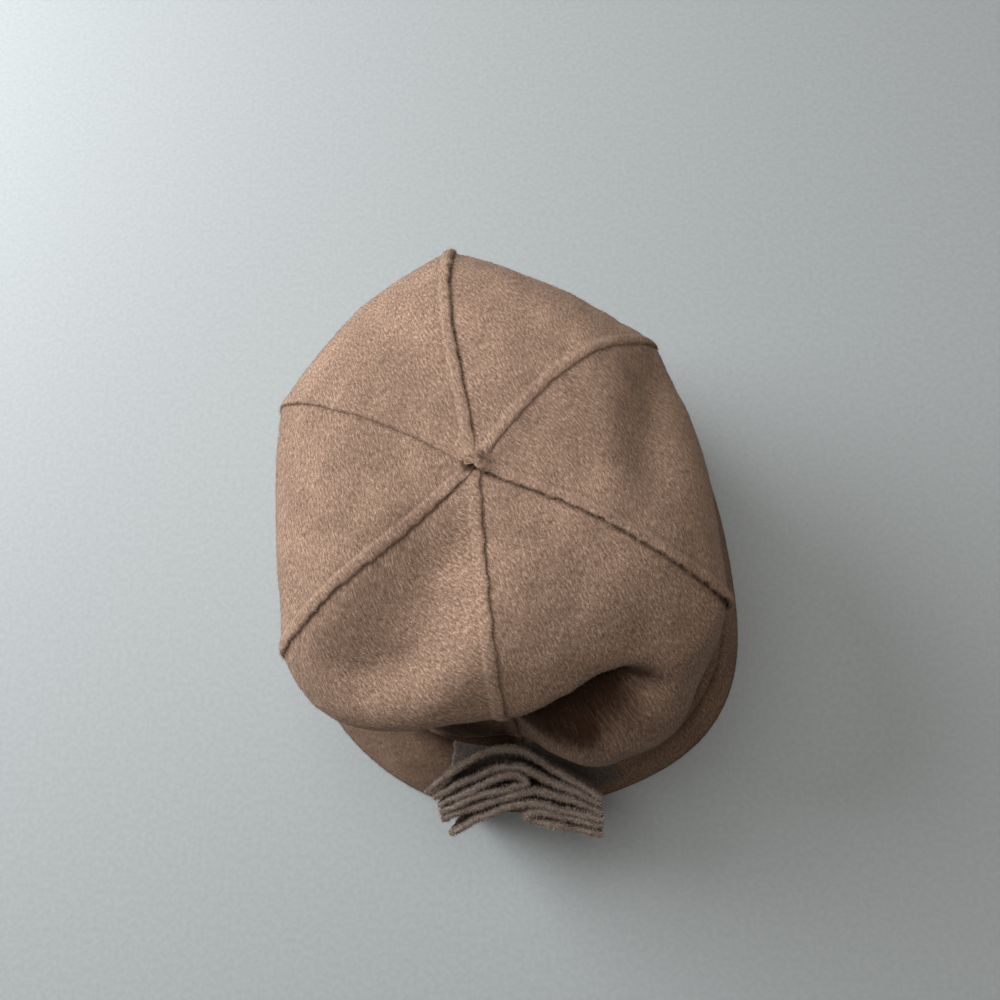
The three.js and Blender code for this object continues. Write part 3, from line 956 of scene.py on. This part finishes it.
def add_node(tree, kind, settings=None, **inputs):
    """A shader node, with its settings, and its inputs by name set to values or linked to sockets."""
    node = tree.nodes.new("ShaderNode" + kind)
    for key, value in (settings or {}).items():
        setattr(node, key, value)
    for key, value in inputs.items():
        number = key[1:]
        socket = node.inputs[int(number) if number.isdigit() else key.replace("_", " ")]
        if isinstance(value, bpy.types.NodeSocket):
            tree.links.new(value, socket)
        else:
            socket.default_value = value
    return node


def ramp(tree, factor, stops):
    """A colour ramp through stops of position and colour."""
    node = add_node(tree, "ValToRGB", Fac=factor)
    elements = node.color_ramp.elements
    while len(elements) < len(stops):
        elements.new(0.5)
    for element, (position, colour) in zip(elements, stops):
        element.position = position
        element.color = (*colour, 1)
    return node.outputs["Color"]


def maths(tree, operation, first, second=0.0):
    return add_node(tree, "Math", {"operation": operation}, _0=first, _1=second).outputs[0]


def attribute(tree, name, output="Fac"):
    return add_node(tree, "Attribute", {"attribute_name": name}).outputs[output]


def mix_colours(tree, share, first, second, blend="MIX"):
    settings = {"data_type": "RGBA", "blend_type": blend}
    return add_node(tree, "Mix", settings, _0=share, _6=first, _7=second).outputs[2]


def felt_noise(tree, place, scale, detail, roughness):
    """Noise of the felt's grain, finer along an axis where the scale is larger."""
    scaled = add_node(tree, "VectorMath", {"operation": "MULTIPLY"}, _0=place, _1=scale).outputs[0]
    settings = {"Vector": scaled, "Scale": 1.0, "Detail": detail, "Roughness": roughness}
    return add_node(tree, "TexNoise", **settings).outputs["Fac"]


def new_material(name):
    material = bpy.data.materials.new(name)
    material.use_nodes = True
    material.node_tree.nodes.clear()
    return material, material.node_tree


# Felt looks: colours from the darkest wool to the palest flecks, how pale raw edges and the painted
# highlight on lap ridges are, and how sharp the streaks. The brim's felt is the crown's felt painted darker,
# as painted shade for the brim under the crown, and so are its hairs. The hairs have three colours of their
# own.
FeltLook = namedtuple("FeltLook", "dark middle light pale edge_paleness streak_contrast")
FELT_LOOKS = {
    "crown_felt": FeltLook(
        (0.150, 0.091, 0.061), (0.290, 0.189, 0.134), (0.52, 0.365, 0.275), (0.60, 0.45, 0.35), 0.35, 1.0
    ),
    # The crown's felt painted darker: painted shade for the brim
    "brim_felt": FeltLook(
        (0.095, 0.054, 0.033), (0.205, 0.127, 0.084), (0.37, 0.248, 0.178), (0.46, 0.33, 0.245), 0.2, 1.0
    ),
    "bow_felt": FeltLook(
        (0.06, 0.042, 0.033), (0.155, 0.116, 0.093), (0.32, 0.25, 0.208), (0.44, 0.36, 0.31), 0.8, 1.5
    ),
    "backing_felt": FeltLook(
        (0.07, 0.056, 0.05), (0.12, 0.098, 0.088), (0.185, 0.156, 0.14), (0.26, 0.23, 0.21), 0.5, 1.0
    ),
}
HAIR_COLOURS = {
    "crown_hair": [(0.15, 0.092, 0.062), (0.28, 0.182, 0.129), (0.50, 0.35, 0.263)],
    # The crown's hair painted darker: painted shade for the brim
    "shaded_brim_hair": [(0.09, 0.052, 0.032), (0.19, 0.116, 0.077), (0.35, 0.232, 0.165)],
    "bow_hair": [(0.05, 0.036, 0.028), (0.22, 0.168, 0.137), (0.62, 0.51, 0.43)],
}
STREAK_SPREAD = 0.098
BUMP_HEIGHT = 0.45

# Share of the red, green and blue light that the darkest painted shade takes from the felt's colour
PAINTED_SHADE_LOSS = (0.88, 0.92, 0.95)

FELT_TINT = (0.8, 0.68, 0.58)
FELT_SHEEN, HAIR_SHEEN = 0.08, 0.04
SHEEN_ROUGHNESS = 0.45
SPECULAR = 0.25


def finish_material(tree, colour, roughness, sheen, tint, normal=None):
    shader = add_node(
        tree,
        "BsdfPrincipled",
        Base_Color=colour,
        Roughness=roughness,
        Sheen_Weight=sheen,
        Sheen_Roughness=SHEEN_ROUGHNESS,
        Sheen_Tint=(*tint, 1),
        Specular_IOR_Level=SPECULAR,
    )
    if normal is not None:
        tree.links.new(normal, shader.inputs["Normal"])
    add_node(tree, "OutputMaterial", Surface=shader.outputs["BSDF"])


def felt_material(name):
    """Mixed brown wool felt: long streaks along the nap, fine hair, soft blotches, paler raw edges with a
    painted highlight on lap ridges, and painted shade.
    """
    look = FELT_LOOKS[name]
    material, tree = new_material(name)
    place = attribute(tree, "felt", "Vector")
    rotation = {"rotation_type": "Z_AXIS"}
    nap_angle = math.atan2(NAP[1], NAP[0])
    turned = add_node(tree, "VectorRotate", rotation, Vector=place, Angle=-nap_angle).outputs[0]
    streaks = felt_noise(tree, turned, (0.45, 1.4, 1), 2.0, 0.6)
    hair = felt_noise(tree, turned, (1.3, 3.5, 1), 3.0, 0.65)
    blotches = felt_noise(tree, place, (0.06, 0.06, 1), 2.0, 0.5)
    flecks = felt_noise(tree, turned, (0.8, 3.0, 3), 1.0, 0.5)

    mixed = maths(tree, "ADD", maths(tree, "MULTIPLY", streaks, 0.5), maths(tree, "MULTIPLY", hair, 0.5))
    spread = STREAK_SPREAD / look.streak_contrast
    near = spread * 0.25
    shades = look.dark, look.middle, look.middle, look.light
    colour = ramp(tree, mixed, list(zip((0.5 - spread, 0.5 - near, 0.5 + near, 0.5 + spread), shades)))
    wide = ramp(tree, blotches, [(0.3, (0.86, 0.85, 0.85)), (0.7, (1.1, 1.1, 1.1))])
    colour = mix_colours(tree, 1.0, colour, wide, "MULTIPLY")
    fleck_share = ramp(tree, flecks, [(0.66, (0, 0, 0)), (0.76, (0.45, 0.45, 0.45))])
    pale = (*look.pale, 1)
    colour = mix_colours(tree, fleck_share, colour, pale)
    # Pale raw edges, and the painted highlight on lap ridges
    hairy_edge = maths(tree, "MULTIPLY", attribute(tree, "edge"), hair)
    edge_share = maths(tree, "MULTIPLY", hairy_edge, look.edge_paleness)
    colour = mix_colours(tree, edge_share, colour, pale)
    # Painted shade beside seams, in folds and creases and in the gaps between strips darkens the colour
    groove = attribute(tree, "groove")
    kept = [maths(tree, "SUBTRACT", 1.0, maths(tree, "MULTIPLY", groove, loss)) for loss in PAINTED_SHADE_LOSS]
    shade = add_node(tree, "CombineColor", _0=kept[0], _1=kept[1], _2=kept[2]).outputs[0]
    colour = mix_colours(tree, 1.0, colour, shade, "MULTIPLY")

    rough = maths(tree, "ADD", 0.82, maths(tree, "MULTIPLY", hair, 0.16))
    height = maths(tree, "ADD", maths(tree, "MULTIPLY", streaks, 0.6), maths(tree, "MULTIPLY", hair, 0.5))
    bump = add_node(tree, "Bump", Strength=0.55, Distance=BUMP_HEIGHT * MM, Height=height)
    finish_material(tree, colour, rough, FELT_SHEEN, FELT_TINT, bump.outputs["Normal"])
    return material


def hair_material(name):
    """The nap's hairs: each has one shade of the felt's wool."""
    material, tree = new_material(name)
    shade = attribute(tree, "shade")
    colour = ramp(tree, shade, list(zip((0.05, 0.5, 0.95), HAIR_COLOURS[name])))
    rough = maths(tree, "ADD", 0.75, maths(tree, "MULTIPLY", shade, 0.15))
    finish_material(tree, colour, rough, HAIR_SHEEN, FELT_TINT)
    return material


def floor_material():
    material, tree = new_material("pale_floor")
    place = add_node(tree, "TexCoord").outputs["Object"]
    grain = add_node(tree, "TexNoise", Vector=place, Scale=400.0, Detail=2.0).outputs["Fac"]
    colour = ramp(tree, grain, [(0.3, (0.37, 0.40, 0.41)), (0.7, (0.41, 0.44, 0.45))])
    rough = maths(tree, "ADD", 0.8, maths(tree, "MULTIPLY", grain, 0.1))
    finish_material(tree, colour, rough, 0.0, (1, 1, 1))
    return material


# The photograph's camera: sensor and lens in millimetres, place in metres, and its three axes
SENSOR, LENS = 36, 27.72
CAMERA_PLACE = (0.0262, -0.06345, 0.4)
CAMERA_RIGHT = (0.9972, 0.0, -0.0754)
CAMERA_UP = (0.01706, 0.97412, 0.2256)
CAMERA_BACK = (0.07345, -0.22626, 0.9713)

# Lights, in metres and watts
Light = namedtuple("Light", "name place target size power colour")
LIGHTS = [
    Light("key", (-0.74, 0.38, 0.55), (0, 0, 0.08), 0.7, 11.5, (0.97, 0.985, 1.0)),
    Light("top", (-0.2, 0.35, 1.7), (0, 0, 0.05), 1.5, 18, (1.0, 0.98, 0.95)),
]
WORLD_COLOUR, WORLD_STRENGTH = (1.0, 0.8, 0.6, 1), 0.06
FLOOR_HALF = 2.0


def pose_matrix(right, up, back, place):
    rows = [(right[k], up[k], back[k], place[k]) for k in range(3)]
    return Matrix([*rows, (0, 0, 0, 1)])


def place_camera():
    """The photograph's view: nearly straight down from 40 cm above the floor, a little in front."""
    data = bpy.data.cameras.new("camera")
    data.sensor_width = SENSOR
    data.lens = LENS
    data.clip_start = 0.01
    camera = new_object("camera", data)
    camera.matrix_world = pose_matrix(CAMERA_RIGHT, CAMERA_UP, CAMERA_BACK, CAMERA_PLACE)
    bpy.context.scene.camera = camera


def add_light(light):
    data = bpy.data.lights.new(light.name, "AREA")
    data.shape = "DISK"
    data.size = light.size
    data.energy = light.power
    data.color = light.colour
    back = unit(np.array(light.place, float) - np.array(light.target, float))
    right = unit(np.cross((0, 0, 1), back))
    new_object(light.name, data).matrix_world = pose_matrix(right, np.cross(back, right), back, light.place)


def light_studio():
    for light in LIGHTS:
        add_light(light)
    world = bpy.data.worlds.new("studio")
    world.use_nodes = True
    background = world.node_tree.nodes["Background"]
    background.inputs["Color"].default_value = WORLD_COLOUR
    background.inputs["Strength"].default_value = WORLD_STRENGTH
    bpy.context.scene.world = world
    bpy.context.scene.view_settings.view_transform = "Standard"


def lay_floor(material):
    mesh = bpy.data.meshes.new("floor")
    corners = [(x * FLOOR_HALF, y * FLOOR_HALF, 0) for x, y in [(-1, -1), (1, -1), (1, 1), (-1, 1)]]
    mesh.from_pydata(corners, [], [(0, 1, 2, 3)])
    mesh.materials.append(material)
    new_object("floor", mesh)


def cover(piece, node, hairs, material, thick=HAIR_THICK):
    """Grows hairs on a felt piece that stands for a node of the frame, and settles both there."""
    coat = hair_object("nap_" + node, hairs, thick, material)
    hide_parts(node)
    for part in (piece, coat):
        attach(part, "root")
    return coat


def gore_hairs(rng, gore, wall):
    """The nap of one gore, and hairs that stand out past its raw edges that lie over a neighbour."""
    shown = 1 - PAINTED_SHADE_HIDES * wall.groove
    groups = [scatter_hairs(rng, wall.upper, wall.normals, wall.nap, shown, GORE_COAT)]
    first, last = slice(0, LAP_COLUMNS), slice(-LAP_COLUMNS, None)
    for column, lap, sign in [(first, gore.start_lap, -1), (last, gore.end_lap, 1)]:
        if lap > 0:
            upper = wall.upper[:, column]
            across = unit(np.gradient(upper, axis=1)) * sign
            way = unit(across + 0.6 * wall.nap[:, column])
            weight = np.ones(upper.shape[:2])
            groups.append(scatter_hairs(rng, upper, wall.normals[:, column], way, weight, LAP_COAT))
    return join_hairs(*groups)


def build_crown(rng, felt, hair):
    for g, gore in enumerate(GORES):
        wall = gore_wall(g)
        piece = wall_object("felt_" + gore.node, wall, felt)
        hairs = cover(piece, gore.node, gore_hairs(rng, gore, wall), hair)


def build_brim(rng, felt, hair):
    wall = brim_wall()
    piece = wall_object("felt_brim", wall, felt, ring=True)
    closed = [np.concatenate([part, part[:, :1]], 1) for part in (wall.upper, wall.normals, wall.nap)]
    weight = np.ones(closed[0].shape[:2])
    nap = scatter_hairs(rng, *closed, weight, BRIM_COAT)
    rim = [part[-BRIM_EDGE_COUNT:] for part in closed]
    edge = scatter_hairs(rng, *rim, weight[-BRIM_EDGE_COUNT:], BRIM_EDGE_COAT)
    hairs = cover(piece, "brim", join_hairs(nap, edge), hair)


def build_bow(rng, felt, hair, backing_felt):
    wall = backing_wall()
    piece = wall_object("felt_bow_backing", wall, backing_felt)
    weight = np.ones(wall.upper.shape[:2]) + 3 * wall.edge
    nap = scatter_hairs(rng, wall.upper, wall.normals, wall.nap, weight, BACKING_COAT)
    hairs = cover(piece, "bow_backing", nap, hair)
    for index, bow in enumerate(BOW_PIECES):
        strip = strip_wall(bow, index)
        piece = strip_object("felt_" + bow.node, strip, felt)
        weight = 0.05 + 3.5 * strip.edge
        nap = scatter_hairs(rng, strip.points, strip.normals, strip.nap, weight, BOW_COAT)
        hairs = cover(piece, bow.node, nap, hair, BOW_HAIR_THICK)


place_camera()
light_studio()
lay_floor(floor_material())

rng = np.random.default_rng(SEED)
felts = {name: felt_material(name) for name in FELT_LOOKS}
coats = {name: hair_material(name) for name in HAIR_COLOURS}
build_crown(rng, felts["crown_felt"], coats["crown_hair"])
build_brim(rng, felts["brim_felt"], coats["shaded_brim_hair"])
build_bow(rng, felts["bow_felt"], coats["bow_hair"], felts["backing_felt"])

bpy.context.view_layer.update()
